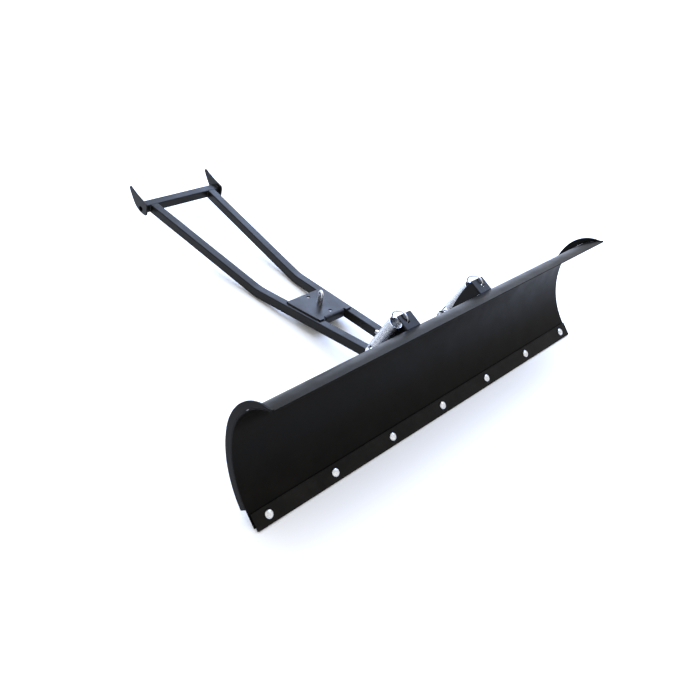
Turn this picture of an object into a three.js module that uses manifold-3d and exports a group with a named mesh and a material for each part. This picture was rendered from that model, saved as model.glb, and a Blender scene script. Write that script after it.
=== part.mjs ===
// ATV snow plow: a curved blade on a swivel frame with trip springs, carried by a push frame.
// Units are millimetres. X runs across the blade, Y runs from the cutting edge back to the
// machine, Z is up. The model is drawn with the cutting edge at Y = 0 and centred at the end.
import * as THREE from 'three';
import { mergeVertices } from 'three/addons/utils/BufferGeometryUtils.js';
import Module from 'manifold-3d';

const wasm = await Module();
wasm.setup();

const rad = THREE.MathUtils.degToRad;
const GAP = 0.3; // clearance kept between touching pieces

// ---------------------------------------------------------------- driving dimensions

const OVERALL_DEPTH = 1396; // cutting edge to the tips of the horn plates

// Blade section: straight foot, lower arc, upper arc, short straight lip
const BLADE_WIDTH = 1500;
const SHEET = 3;
const FOOT_ANGLE = 41; // of the foot and the wear bar, from the ground
const FOOT_LENGTH = 36;
const LOWER_RADIUS = 260;
const UPPER_RADIUS = 160;
const LIP_ANGLE = 156;
const LIP_LENGTH = 14;

// Wear bar and its carriage bolts
const BAR_THICK = 6;
const BAR_DROP = 10; // how far the bar reaches below the sheet
const BAR_HEIGHT = 46;
const BOLT_COUNT = 7;
const BOLT_PITCH = 233.5;
const BOLT_ALONG = 14; // from the sheet's lower edge, up the foot
const BOLT_HEAD = { radius: 12.2, height: 5.2 };
const M10 = { radius: 4.9, across: 17, height: 8 };
const M12 = { radius: 5.9, across: 19, height: 9 };
const M20 = { radius: 9.9, across: 30, height: 13 };
const M8 = { radius: 4.4, across: 14, height: 7 };

// Ribs on the back of the blade
const END_RIB = { thick: 6, depth: 22, tipDepth: 3, from: 44, taperFrom: 118 };
const HINGE_RIB = { inner: 143, thick: 6 };
const FLANGE = { outer: 198, length: 60, thick: 5, tilt: 23, rearY: 133.5, rearZ: 354, hole: 6 };

// Trip hinge, king bolt and the clamp that holds the blade's angle
const TRIP = { y: 105, z: 62 };
const KING = { y: 215, sleeveRadius: 35, sleeveLow: 46.3, sleeveHigh: 91.7 };
const CLAMP = { radius: 70, screw: 5.8, hole: 6.3, swing: 30, collar: 13 };

// Trip springs
const SPRING = { x: 176, outer: 22, inner: 17, wire: 2.5, length: 118, lean: 20.3, topY: 145.3, topZ: 318.9 };
const ANCHOR = { y: 203.5, z: 182.5, reach: 30 };

// Swivel frame
const SWIVEL_BAR = { front: 125, back: 160, halfWidth: 157.7 };
const SWIVEL_PLATE = 8;
const ARM = { inner: 158, thick: 6 };

// Push frame: two square tubes, bent once in the vertical plane, wider apart at the rear
const TUBE = { size: 32, wall: 2.5, bendRadius: 250 };
const FRAME_REAR = { y: 1302.9, z: 83, inner: 113.4 };
const FRAME_BEND = { y: 761, z: 22.6 };
const FRAME_FRONT = { y: 205, z: 73.8 };
const FRAME_TAPER = 0.0745; // sideways per millimetre of length
const CROSSBAR_HALF = 165.7;

// Horn plates: lengths along Y are from the front of the rear crossbar
const HORN = {
  thick: 6, front: -14, low: 63.5, high: 111, corner: 12,
  heel: { startY: 15, y: 42, z: 66.5, endY: 60, endZ: 85 }, // the lower edge's bend
  back: { y: 76, z: 102.5 }, crown: { y: 45, z: 120 }, // bend of the rear and upper edges
  tip: { y: 87.1, z: 131, radius: 6, from: -40, to: 112 },
};
const HORN_SLOT = { y: 18, z: 79, length: 4, radius: 8.5 };

// Mid plate with the lifting loop
const MID = { rearY: 636, frontY: 488, rearHalf: 80, frontHalf: 72, thick: 5, lipHalf: 43, lipDrop: 22 };
const LOOP = { y: 562, pitch: 19, height: 51, turn: -112 };
const SPARE_HOLE = { radius: 6.5, offsets: [54, -49] }; // behind and in front of the loop

// ---------------------------------------------------------------- materials

function steel(color, roughness, metalness) {
  return new THREE.MeshStandardMaterial({ color, roughness, metalness });
}

const finishes = {
  blackPaint: () => steel(0x1c1d1f, 0.42, 0.2),
  wearSteel: () => steel(0x151516, 0.5, 0.2),
  zinc: () => steel(0xc9ccd2, 0.3, 0.9),
};

// ---------------------------------------------------------------- solids and booleans

function toSolid(geometry) {
  const bare = geometry.clone();
  bare.deleteAttribute('normal');
  bare.deleteAttribute('uv');
  const merged = mergeVertices(bare, 1e-4);
  return new wasm.Manifold(new wasm.Mesh({
    numProp: 3,
    vertProperties: new Float32Array(merged.attributes.position.array),
    triVerts: new Uint32Array(merged.index.array),
  }));
}

function toGeometry(solid) {
  const mesh = solid.getMesh();
  const geometry = new THREE.BufferGeometry();
  geometry.setAttribute('position', new THREE.BufferAttribute(new Float32Array(mesh.vertProperties), 3));
  geometry.setIndex(new THREE.BufferAttribute(new Uint32Array(mesh.triVerts), 1));
  return geometry;
}

function cut(geometry, ...tools) {
  let solid = toSolid(geometry);
  for (const tool of tools) {
    solid = solid.subtract(toSolid(tool));
  }
  return toGeometry(solid);
}

function join(...geometries) {
  let solid = toSolid(geometries[0]);
  for (const other of geometries.slice(1)) {
    solid = solid.add(toSolid(other));
  }
  return toGeometry(solid);
}

function box(low, high) {
  const size = [0, 1, 2].map((i) => high[i] - low[i]);
  const geometry = new THREE.BoxGeometry(...size);
  return geometry.translate(...[0, 1, 2].map((i) => (high[i] + low[i]) / 2));
}

// A flat plate drawn as a shape in (Y, Z) and standing across X
function sidePlate(shape, lowX, highX) {
  const geometry = new THREE.ExtrudeGeometry(shape, {
    depth: highX - lowX, bevelEnabled: false, curveSegments: 10,
  });
  const turn = new THREE.Matrix4().makeBasis(
    new THREE.Vector3(0, 1, 0), new THREE.Vector3(0, 0, 1), new THREE.Vector3(1, 0, 0),
  );
  return geometry.applyMatrix4(turn).translate(lowX, 0, 0);
}

// A flat plate drawn as a shape in (X, Y) and lying at a height
function floorPlate(shape, lowZ, highZ) {
  const geometry = new THREE.ExtrudeGeometry(shape, {
    depth: highZ - lowZ, bevelEnabled: false, curveSegments: 12,
  });
  return geometry.translate(0, 0, lowZ);
}

// A cylinder between two points
function rod(radius, start, end, sides = 24) {
  const from = new THREE.Vector3(...start);
  const to = new THREE.Vector3(...end);
  const along = to.clone().sub(from);
  const geometry = new THREE.CylinderGeometry(radius, radius, along.length(), sides);
  const turn = new THREE.Quaternion().setFromUnitVectors(
    new THREE.Vector3(0, 1, 0), along.clone().normalize(),
  );
  const middle = from.add(to).multiplyScalar(0.5);
  return geometry.applyQuaternion(turn).translate(middle.x, middle.y, middle.z);
}

// A hexagon prism between two points, sized across its flats
function hexagon(across, start, end) {
  return rod(across / Math.sqrt(3), start, end, 6);
}

// Round wire along a list of points
function wire(radius, points, steps, sides = 8) {
  const section = new THREE.Shape();
  section.absarc(0, 0, radius, 0, Math.PI * 2, false);
  const path = new THREE.CatmullRomCurve3(points.map((p) => new THREE.Vector3(...p)));
  return new THREE.ExtrudeGeometry(section, { steps, curveSegments: sides / 2, extrudePath: path });
}

function outline(points) {
  return new THREE.Shape(points.map(([a, b]) => new THREE.Vector2(a, b)));
}

// Stands geometry drawn along +Y up so that it points along a direction
function aim(geometry, direction, place) {
  const turn = new THREE.Quaternion().setFromUnitVectors(
    new THREE.Vector3(0, 1, 0), new THREE.Vector3(...direction).normalize(),
  );
  return geometry.applyQuaternion(turn).translate(...place);
}

const plow = new THREE.Group();

function addPiece(name, geometry, finish) {
  const mesh = new THREE.Mesh(geometry, finish());
  mesh.name = name;
  plow.add(mesh);
}

const SIDES = [['left', -1], ['right', 1]];

// ---------------------------------------------------------------- blade section

// Lower edge of the sheet's front face, placed so that the wear bar stands on the ground
const footStart = {
  y: BAR_DROP * Math.cos(rad(FOOT_ANGLE)) + (BAR_THICK + GAP) * Math.sin(rad(FOOT_ANGLE)),
  z: BAR_DROP * Math.sin(rad(FOOT_ANGLE)) - GAP * Math.cos(rad(FOOT_ANGLE)),
};

// A place up the foot, and a distance behind the sheet's front face
function footPoint(along, behind) {
  const c = Math.cos(rad(FOOT_ANGLE));
  const s = Math.sin(rad(FOOT_ANGLE));
  return [footStart.y + along * c + behind * s, footStart.z + along * s - behind * c];
}

// The section's front face as stations of place and direction, from the foot to the lip
function sectionStations() {
  const [y, z] = footPoint(FOOT_LENGTH, 0);
  const stations = [
    { y: footStart.y, z: footStart.z, angle: FOOT_ANGLE },
    { y, z, angle: FOOT_ANGLE },
  ];
  const lowerY = y - LOWER_RADIUS * Math.sin(rad(FOOT_ANGLE));
  const lowerZ = z + LOWER_RADIUS * Math.cos(rad(FOOT_ANGLE));
  for (let angle = 44; angle <= 90; angle += 46 / 12) {
    stations.push({
      y: lowerY + LOWER_RADIUS * Math.sin(rad(angle)),
      z: lowerZ - LOWER_RADIUS * Math.cos(rad(angle)),
      angle,
    });
  }
  const upperY = lowerY + LOWER_RADIUS - UPPER_RADIUS;
  for (let step = 1; step <= 14; step += 1) {
    const angle = 90 + (LIP_ANGLE - 90) * (step / 14);
    stations.push({
      y: upperY + UPPER_RADIUS * Math.sin(rad(angle)),
      z: lowerZ - UPPER_RADIUS * Math.cos(rad(angle)),
      angle,
    });
  }
  const last = stations[stations.length - 1];
  stations.push({
    y: last.y + LIP_LENGTH * Math.cos(rad(LIP_ANGLE)),
    z: last.z + LIP_LENGTH * Math.sin(rad(LIP_ANGLE)),
    angle: LIP_ANGLE,
  });
  return stations;
}

const section = sectionStations();

function behindStation(station, distance) {
  return [
    station.y + distance * Math.sin(rad(station.angle)),
    station.z - distance * Math.cos(rad(station.angle)),
  ];
}

// The band of the section between two distances behind its front face
function sectionBand(stations, near, far) {
  const front = stations.map((station) => behindStation(station, near));
  const back = stations.map((station) => behindStation(station, far(station)));
  return outline([...back, ...front.reverse()]);
}

// Everything from far in front of the sheet to a gap behind it, to fit ribs against it
function sheetKeepOut() {
  const band = sectionBand(section, -100, () => SHEET + GAP);
  return sidePlate(band, -BLADE_WIDTH / 2 - 10, BLADE_WIDTH / 2 + 10);
}

const boltPlaces = Array.from(
  { length: BOLT_COUNT }, (_, i) => (i - (BOLT_COUNT - 1) / 2) * BOLT_PITCH,
);

function boltHoles() {
  return boltPlaces.map((x) => {
    const [frontY, frontZ] = footPoint(BOLT_ALONG, -20);
    const [backY, backZ] = footPoint(BOLT_ALONG, 20);
    return rod(5.4, [x, frontY, frontZ], [x, backY, backZ], 16);
  });
}

// ---------------------------------------------------------------- blade pieces

function addMouldboard() {
  const half = BLADE_WIDTH / 2;
  const sheet = sidePlate(sectionBand(section, 0, () => SHEET), -half, half);
  addPiece('mouldboard', cut(sheet, ...boltHoles()), finishes.blackPaint);
}

function addWearBar() {
  const half = BLADE_WIDTH / 2 - 4;
  const bar = outline([
    footPoint(-BAR_DROP, -GAP),
    footPoint(BAR_HEIGHT - BAR_DROP, -GAP),
    footPoint(BAR_HEIGHT - BAR_DROP, -GAP - BAR_THICK),
    footPoint(-BAR_DROP, -GAP - BAR_THICK),
  ].reverse());
  addPiece('wear_bar', cut(sidePlate(bar, -half, half), ...boltHoles()), finishes.wearSteel);
}

// Carriage bolt drawn upright, its dome on top and the seat of the dome at height zero
function carriageBolt(length) {
  const dome = new THREE.Shape();
  dome.moveTo(0, BOLT_HEAD.height);
  dome.quadraticCurveTo(BOLT_HEAD.radius * 0.8, BOLT_HEAD.height, BOLT_HEAD.radius, 0);
  dome.lineTo(M10.radius, 0);
  dome.lineTo(M10.radius, -length);
  dome.lineTo(0, -length);
  return new THREE.LatheGeometry(dome.getPoints(6).reverse(), 24);
}

function addWearBolts() {
  const forward = [0, -Math.sin(rad(FOOT_ANGLE)), Math.cos(rad(FOOT_ANGLE))];
  boltPlaces.forEach((x, i) => {
    const [seatY, seatZ] = footPoint(BOLT_ALONG, -BAR_THICK - 2 * GAP);
    const bolt = aim(carriageBolt(24), forward, [x, seatY, seatZ]);
    addPiece(`wear_bolt_${i + 1}`, bolt, finishes.zinc);
    const near = footPoint(BOLT_ALONG, SHEET + GAP);
    const far = footPoint(BOLT_ALONG, SHEET + GAP + M10.height);
    const nut = hexagon(M10.across, [x, ...near], [x, ...far]);
    const boreEnds = [0, 20].map((depth) => [x, ...footPoint(BOLT_ALONG, depth)]);
    const bore = rod(M10.radius + 0.1, ...boreEnds, 24);
    addPiece(`wear_nut_${i + 1}`, cut(nut, bore), finishes.zinc);
  });
}

function addEndRibs() {
  const stations = section.filter((station) => station.angle >= END_RIB.from);
  const depth = (station) => {
    const along = (station.angle - END_RIB.taperFrom) / (LIP_ANGLE - END_RIB.taperFrom);
    const taper = THREE.MathUtils.clamp(along, 0, 1);
    return SHEET + THREE.MathUtils.lerp(END_RIB.depth, END_RIB.tipDepth, taper ** 2);
  };
  const half = BLADE_WIDTH / 2;
  for (const [name, side] of SIDES) {
    const band = sectionBand(stations, SHEET + GAP, depth);
    const low = side < 0 ? -half : half - END_RIB.thick;
    addPiece(`end_rib_${name}`, sidePlate(band, low, low + END_RIB.thick), finishes.blackPaint);
  }
}

// Directions in the tilted spring flange: along it towards the rear, and square to it
const flangeAlong = [Math.cos(rad(FLANGE.tilt)), Math.sin(rad(FLANGE.tilt))];

function flangePoint(forward, below) {
  return [
    FLANGE.rearY - forward * flangeAlong[0] + below * flangeAlong[1],
    FLANGE.rearZ - forward * flangeAlong[1] - below * flangeAlong[0],
  ];
}

// Rib that carries the trip hinge at its foot and the spring flange at its head
function hingeRibShape() {
  const shape = new THREE.Shape();
  const under = FLANGE.thick + GAP;
  shape.moveTo(...flangePoint(FLANGE.length, under));
  shape.lineTo(60, 250);
  shape.lineTo(60, 120);
  shape.lineTo(50, 48);
  shape.lineTo(TRIP.y - 12, TRIP.z - 14);
  shape.absarc(TRIP.y, TRIP.z, 17, rad(-130), rad(0), false);
  shape.lineTo(TRIP.y + 17, 104);
  shape.bezierCurveTo(124, 118, 164, 130, 168, 196);
  shape.bezierCurveTo(172, 250, 150, 320, ...flangePoint(2, under));
  return shape;
}

function addHingeRibs() {
  const hole = rod(M12.radius + 0.4, [-300, TRIP.y, TRIP.z], [300, TRIP.y, TRIP.z]);
  for (const [name, side] of SIDES) {
    const faces = [HINGE_RIB.inner * side, (HINGE_RIB.inner + HINGE_RIB.thick) * side];
    const plate = sidePlate(hingeRibShape(), Math.min(...faces), Math.max(...faces));
    addPiece(`hinge_rib_${name}`, cut(plate, sheetKeepOut(), hole), finishes.blackPaint);
  }
}

function addSpringFlanges() {
  const shape = outline([
    flangePoint(0, 0), flangePoint(FLANGE.length, 0),
    flangePoint(FLANGE.length, FLANGE.thick), flangePoint(0, FLANGE.thick),
  ]);
  for (const [name, side] of SIDES) {
    const faces = [HINGE_RIB.inner * side, FLANGE.outer * side];
    const plate = sidePlate(shape, Math.min(...faces), Math.max(...faces));
    const above = flangePoint(25.5, -10);
    const below = flangePoint(25.5, 15);
    const x = SPRING.x * side;
    const hole = rod(FLANGE.hole, [x, ...above], [x, ...below]);
    addPiece(`spring_flange_${name}`, cut(plate, sheetKeepOut(), hole), finishes.blackPaint);
  }
}

// ---------------------------------------------------------------- trip springs

const springAxis = [Math.sin(rad(SPRING.lean)), -Math.cos(rad(SPRING.lean))];

// A place down the spring from its top end, and a distance to its rear side
function springPoint(down, rearward) {
  return [
    SPRING.topY + down * springAxis[0] - rearward * springAxis[1],
    SPRING.topZ + down * springAxis[1] + rearward * springAxis[0],
  ];
}

function springSolid(x) {
  const top = [x, ...springPoint(0, 0)];
  const bottom = [x, ...springPoint(SPRING.length, 0)];
  const coil = cut(rod(SPRING.outer, top, bottom, 28),
    rod(SPRING.inner, [x, ...springPoint(-5, 0)], [x, ...springPoint(SPRING.length + 5, 0)], 20));
  const ring = (SPRING.outer + SPRING.inner) / 2;
  const upperHook = wire(SPRING.wire, [
    [x, ...springPoint(3, ring)], [x, 165, 334], [x, 160.5, 344], [x, 151, 351.5], [x, 136, 358.5],
    [x, 121, 356], [x, 112, 346.5], [x, 110, 338.5], [x, 113, 332.5],
  ], 30);
  const eye = SPRING.wire + M12.radius + 1.2;
  const lowerHook = wire(SPRING.wire, [
    [x, ...springPoint(SPRING.length - 3, ring)],
    [x, ANCHOR.y + eye + 0.5, ANCHOR.z + 14],
    [x, ANCHOR.y + eye, ANCHOR.z],
    [x, ANCHOR.y + 0.7 * eye, ANCHOR.z - 0.7 * eye],
    [x, ANCHOR.y, ANCHOR.z - eye],
    [x, ANCHOR.y - 0.7 * eye, ANCHOR.z - 0.7 * eye],
    [x, ANCHOR.y - eye, ANCHOR.z],
    [x, ANCHOR.y - 0.75 * eye, ANCHOR.z + 0.75 * eye],
  ], 28);
  return join(coil, upperHook, lowerHook);
}

function addSprings() {
  for (const [name, side] of SIDES) {
    addPiece(`trip_spring_${name}`, springSolid(SPRING.x * side), finishes.zinc);
    const x = (distance) => [distance * side, ANCHOR.y, ANCHOR.z];
    const head = hexagon(M12.across, x(181), x(188));
    const bolt = join(head, rod(M12.radius, x(146), x(183)));
    addPiece(`spring_bolt_${name}`, bolt, finishes.zinc);
    const nut = hexagon(M12.across, x(148.7), x(157.7));
    addPiece(`spring_nut_${name}`, cut(nut, rod(M12.radius + 0.1, x(140), x(170))), finishes.zinc);
  }
}

// ---------------------------------------------------------------- swivel frame

function addSwivelCrossbar() {
  const { front, back, halfWidth } = SWIVEL_BAR;
  const low = KING.sleeveLow;
  const high = KING.sleeveHigh;
  const bar = box([-halfWidth, front, low], [halfWidth, back, high]);
  const inside = box([-halfWidth - 5, front + 4, low + 4], [halfWidth + 5, back - 4, high - 4]);
  addPiece('swivel_crossbar', cut(bar, inside), finishes.blackPaint);
}

function kingHole(lowZ, highZ) {
  return rod(M20.radius + 0.4, [0, KING.y, lowZ], [0, KING.y, highZ]);
}

// Curved slot around the king bolt, as long as the blade's swing
function clampSlot() {
  const from = rad(90 - CLAMP.swing);
  const to = rad(90 + CLAMP.swing);
  const end = (angle) => [CLAMP.radius * Math.cos(angle), KING.y + CLAMP.radius * Math.sin(angle)];
  const slot = new THREE.Path();
  slot.absarc(0, KING.y, CLAMP.radius + CLAMP.hole, from, to, false);
  slot.absarc(...end(to), CLAMP.hole, to, to + Math.PI, false);
  slot.absarc(0, KING.y, CLAMP.radius - CLAMP.hole, to, from, true);
  slot.absarc(...end(from), CLAMP.hole, from + Math.PI, from + 2 * Math.PI, false);
  return slot;
}

// Upper plate: reaches back into a round sector with the clamp's slot
function addUpperPlate() {
  const front = SWIVEL_BAR.front;
  const reach = CLAMP.radius + 12;
  const shape = outline([[-80, SWIVEL_BAR.back], [-80, front], [80, front], [80, SWIVEL_BAR.back]]);
  shape.lineTo(reach * Math.sin(rad(42)), KING.y + reach * Math.cos(rad(42)));
  shape.absarc(0, KING.y, reach, rad(48), rad(132), false);
  shape.holes.push(clampSlot());
  const low = KING.sleeveHigh + GAP;
  const plate = cut(floorPlate(shape, low, low + SWIVEL_PLATE), kingHole(low - 5, low + 20));
  addPiece('swivel_upper_plate', plate, finishes.blackPaint);
}

function addLowerPlate() {
  const front = SWIVEL_BAR.front;
  const reach = KING.sleeveRadius;
  const shape = outline([[-60, SWIVEL_BAR.back], [-60, front], [60, front], [60, SWIVEL_BAR.back]]);
  shape.lineTo(reach, KING.y);
  shape.absarc(0, KING.y, reach, 0, Math.PI, false);
  const high = KING.sleeveLow - GAP;
  const plate = cut(floorPlate(shape, high - SWIVEL_PLATE, high), kingHole(high - 20, high + 5));
  addPiece('swivel_lower_plate', plate, finishes.blackPaint);
}

// Arm that rises from each end of the crossbar to the spring's lower bolt
function addSpringArms() {
  const { front, back } = SWIVEL_BAR;
  const shape = new THREE.Shape();
  shape.moveTo(front + 2, KING.sleeveLow + 1);
  shape.lineTo(back - 2, KING.sleeveLow + 1);
  shape.lineTo(back + 6, KING.sleeveHigh + 4);
  shape.lineTo(ANCHOR.y + 11.5, ANCHOR.z - 6);
  shape.absarc(ANCHOR.y, ANCHOR.z, 13, rad(-28), rad(152), false);
  shape.lineTo(front + 2, KING.sleeveHigh - 4);
  for (const [name, side] of SIDES) {
    const faces = [ARM.inner * side, (ARM.inner + ARM.thick) * side];
    const plate = sidePlate(shape, Math.min(...faces), Math.max(...faces));
    const hole = rod(M12.radius + 0.4, [-300, ANCHOR.y, ANCHOR.z], [300, ANCHOR.y, ANCHOR.z]);
    addPiece(`spring_arm_${name}`, cut(plate, hole), finishes.blackPaint);
  }
}

// Two lugs either side of each hinge rib, and the bolt that joins them
function addTripHinges() {
  const shape = new THREE.Shape();
  const back = SWIVEL_BAR.front - GAP;
  shape.moveTo(back, TRIP.z + 22);
  shape.lineTo(TRIP.y + 4, TRIP.z + 16);
  shape.absarc(TRIP.y, TRIP.z, 16, rad(75), rad(285), false);
  shape.lineTo(back, TRIP.z - 15);
  const hole = rod(M12.radius + 0.4, [-300, TRIP.y, TRIP.z], [300, TRIP.y, TRIP.z]);
  for (const [name, side] of SIDES) {
    const x = (distance) => [distance * side, TRIP.y, TRIP.z];
    const lugs = [['inner', HINGE_RIB.inner - 6.5], ['outer', HINGE_RIB.inner + HINGE_RIB.thick + 0.5]];
    for (const [place, low] of lugs) {
      const faces = [low * side, (low + 6) * side];
      const lug = cut(sidePlate(shape, Math.min(...faces), Math.max(...faces)), hole);
      addPiece(`hinge_lug_${name}_${place}`, lug, finishes.blackPaint);
    }
    const head = hexagon(M12.across, x(155.8), x(163));
    addPiece(`hinge_bolt_${name}`, join(head, rod(M12.radius, x(122), x(158))), finishes.zinc);
    const nut = cut(hexagon(M12.across, x(126), x(136.2)), rod(M12.radius + 0.1, x(110), x(150)));
    addPiece(`hinge_nut_${name}`, nut, finishes.zinc);
  }
}

function addKingBolt() {
  const at = (z) => [0, KING.y, z];
  const top = KING.sleeveHigh + SWIVEL_PLATE + 2 * GAP;
  const bottom = KING.sleeveLow - SWIVEL_PLATE - 2 * GAP;
  const head = hexagon(M20.across, at(top), at(top + M20.height));
  addPiece('king_bolt', join(head, rod(M20.radius, at(bottom - 20), at(top + 2))), finishes.zinc);
  const nut = cut(hexagon(M20.across, at(bottom - 15), at(bottom)), kingHole(bottom - 25, bottom + 5));
  addPiece('king_nut', nut, finishes.zinc);
}

// ---------------------------------------------------------------- push frame

const rearRise = (FRAME_REAR.z - FRAME_BEND.z) / (FRAME_REAR.y - FRAME_BEND.y);
const frontRise = (FRAME_FRONT.z - FRAME_BEND.z) / (FRAME_BEND.y - FRAME_FRONT.y);

function tubeTop(y) {
  return FRAME_BEND.z + (FRAME_BEND.y - y) * frontRise + (TUBE.size / 2) * Math.hypot(1, frontRise);
}

// Centre line of a push tube seen from the side, from behind the crossbar to the front
function tubeStations() {
  const turn = Math.atan(rearRise) + Math.atan(frontRise);
  const tangent = TUBE.bendRadius * Math.tan(turn / 2);
  const rearAngle = Math.atan(rearRise);
  const startY = FRAME_BEND.y + tangent * Math.cos(rearAngle);
  const startZ = FRAME_BEND.z + tangent * Math.sin(rearAngle);
  const centreY = startY - TUBE.bendRadius * Math.sin(rearAngle);
  const centreZ = startZ + TUBE.bendRadius * Math.cos(rearAngle);
  const end = 60;
  const stations = [{ y: FRAME_REAR.y + end, z: FRAME_REAR.z + end * rearRise, angle: rearAngle }];
  for (let step = 0; step <= 6; step += 1) {
    const angle = rearAngle - turn * (step / 6);
    stations.push({
      y: centreY + TUBE.bendRadius * Math.sin(angle),
      z: centreZ - TUBE.bendRadius * Math.cos(angle),
      angle,
    });
  }
  const frontY = FRAME_FRONT.y - end;
  stations.push({
    y: frontY,
    z: FRAME_BEND.z + (FRAME_BEND.y - frontY) * frontRise,
    angle: -Math.atan(frontRise),
  });
  return stations;
}

function tubeBand(stations, half) {
  const side = (sign) => stations.map(({ y, z, angle }) => [
    y - sign * half * Math.sin(angle), z + sign * half * Math.cos(angle),
  ]);
  return outline([...side(1), ...side(-1).reverse()]);
}

// Box frame of the rear crossbar, tilted with the rear stretch of the tubes
function onRearSlope(geometry) {
  return geometry.rotateX(Math.atan(rearRise)).translate(0, FRAME_REAR.y, FRAME_REAR.z);
}

function addPushTubes() {
  const stations = tubeStations();
  const half = TUBE.size / 2;
  const behind = onRearSlope(box([-400, -GAP, -100], [400, 200, 100]));
  const ahead = box([-200, 0, -50], [200, FRAME_FRONT.y, 200]);
  const seat = rod(KING.sleeveRadius + GAP, [0, KING.y, 0], [0, KING.y, 200], 40);
  for (const [name, side] of SIDES) {
    const tube = cut(
      sidePlate(tubeBand(stations, half), -half, half),
      sidePlate(tubeBand(stations, half - TUBE.wall), TUBE.wall - half, half - TUBE.wall),
    );
    const lean = new THREE.Matrix4().makeShear(0, 0, side * FRAME_TAPER, 0, 0, 0);
    tube.applyMatrix4(lean);
    const x = side * (FRAME_REAR.inner + half - FRAME_TAPER * FRAME_REAR.y);
    tube.translate(x, 0, 0);
    addPiece(`push_tube_${name}`, cut(tube, behind, ahead, seat), finishes.blackPaint);
  }
}

function addRearCrossbar() {
  const size = TUBE.size;
  const wall = TUBE.wall;
  const half = size / 2;
  const bar = box([-CROSSBAR_HALF, 0, -half], [CROSSBAR_HALF, size, half]);
  const inside = box([-CROSSBAR_HALF - 5, wall, wall - half], [CROSSBAR_HALF + 5, size - wall, half - wall]);
  addPiece('rear_crossbar', onRearSlope(cut(bar, inside)), finishes.blackPaint);
}

// Swept-back attachment plate with a slot, one on each end of the crossbar
function hornShape() {
  const { front, low, high, corner, heel, back, crown, tip } = HORN;
  const y = FRAME_REAR.y;
  const tipY = tip.y + tip.radius * Math.cos(rad(tip.from));
  const tipZ = tip.z + tip.radius * Math.sin(rad(tip.from));
  const shape = new THREE.Shape();
  shape.moveTo(y + front, low + corner);
  shape.quadraticCurveTo(y + front, low, y + front + corner, low);
  shape.lineTo(y + heel.startY, low + 0.5);
  shape.quadraticCurveTo(y + heel.y, heel.z, y + heel.endY, heel.endZ);
  shape.quadraticCurveTo(y + back.y, back.z, y + tipY, tipZ);
  shape.absarc(y + tip.y, tip.z, tip.radius, rad(tip.from), rad(tip.to), false);
  shape.quadraticCurveTo(y + crown.y, crown.z, y + front + corner - 2, high);
  shape.quadraticCurveTo(y + front, high - 2, y + front, high - corner);
  const slot = new THREE.Path();
  const start = y + HORN_SLOT.y;
  slot.absarc(start, HORN_SLOT.z, HORN_SLOT.radius, rad(90), rad(270), false);
  slot.absarc(start + HORN_SLOT.length, HORN_SLOT.z, HORN_SLOT.radius, rad(-90), rad(90), false);
  slot.closePath();
  shape.holes.push(slot);
  return shape;
}

function addHornPlates() {
  for (const [name, side] of SIDES) {
    const near = CROSSBAR_HALF + GAP;
    const faces = [near * side, (near + HORN.thick) * side];
    const plate = sidePlate(hornShape(), Math.min(...faces), Math.max(...faces));
    addPiece(`horn_plate_${name}`, plate, finishes.blackPaint);
  }
}

// Puts geometry drawn on a level plate onto the sloping tops of the tubes
function onFrontSlope(geometry, y) {
  return geometry.rotateX(-Math.atan(frontRise)).translate(0, y, tubeTop(y) + GAP);
}

const midY = (MID.rearY + MID.frontY) / 2;
const loopAlong = LOOP.y - midY;
const loopTurn = rad(LOOP.turn);
const loopLegs = [-1, 1].map((side) => [
  side * (LOOP.pitch / 2) * Math.cos(loopTurn),
  loopAlong + side * (LOOP.pitch / 2) * Math.sin(loopTurn),
]);

function addMidPlate() {
  const half = (MID.rearY - MID.frontY) / 2;
  const plate = floorPlate(outline([
    [-MID.rearHalf, half], [-MID.frontHalf, -half], [MID.frontHalf, -half], [MID.rearHalf, half],
  ]), 0, MID.thick);
  const lip = box([-MID.lipHalf, -half, -MID.lipDrop], [MID.lipHalf, MID.thick - half, 1]);
  const reliefs = [-1, 1].map((side) => {
    const edges = [side * MID.lipHalf, side * (MID.lipHalf + 6)];
    return box([Math.min(...edges), -half - 1, -40], [Math.max(...edges), 9 - half, 20]);
  });
  const drill = (x, y, radius) => rod(radius, [x, y, -10], [x, y, 20], 16);
  const spare = SPARE_HOLE.offsets.map((offset) => drill(0, loopAlong + offset, SPARE_HOLE.radius));
  const legs = loopLegs.map(([x, y]) => drill(x, y, M8.radius + 0.5));
  const solid = cut(join(plate, lip), ...reliefs, ...spare, ...legs);
  addPiece('mid_plate', onFrontSlope(solid, midY), finishes.blackPaint);
}

// Lifting loop: a U-bolt standing on the mid plate, with nuts above and below
function addLiftingLoop() {
  const bend = LOOP.pitch / 2;
  const rise = LOOP.height - bend - M8.radius;
  const [[x0, y0], [x1, y1]] = loopLegs;
  const arch = Array.from({ length: 9 }, (_, i) => {
    const angle = Math.PI * (1 - i / 8);
    const across = (1 + Math.cos(angle)) / 2;
    return [x0 + (x1 - x0) * across, y0 + (y1 - y0) * across, MID.thick + rise + bend * Math.sin(angle)];
  });
  const loop = wire(M8.radius, [
    [x0, y0, -16], [x0, y0, 0], [x0, y0, 18], ...arch, [x1, y1, 18], [x1, y1, 0], [x1, y1, -16],
  ], 60, 12);
  addPiece('lifting_loop', onFrontSlope(loop, midY), finishes.zinc);
  loopLegs.forEach(([x, y], i) => {
    const bore = rod(M8.radius + 0.15, [x, y, -30], [x, y, 30], 16);
    const lower = hexagon(M8.across, [x, y, -GAP - M8.height], [x, y, -GAP]);
    addPiece(`loop_nut_${i + 1}`, onFrontSlope(cut(lower, bore), midY), finishes.zinc);
  });
}

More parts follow.
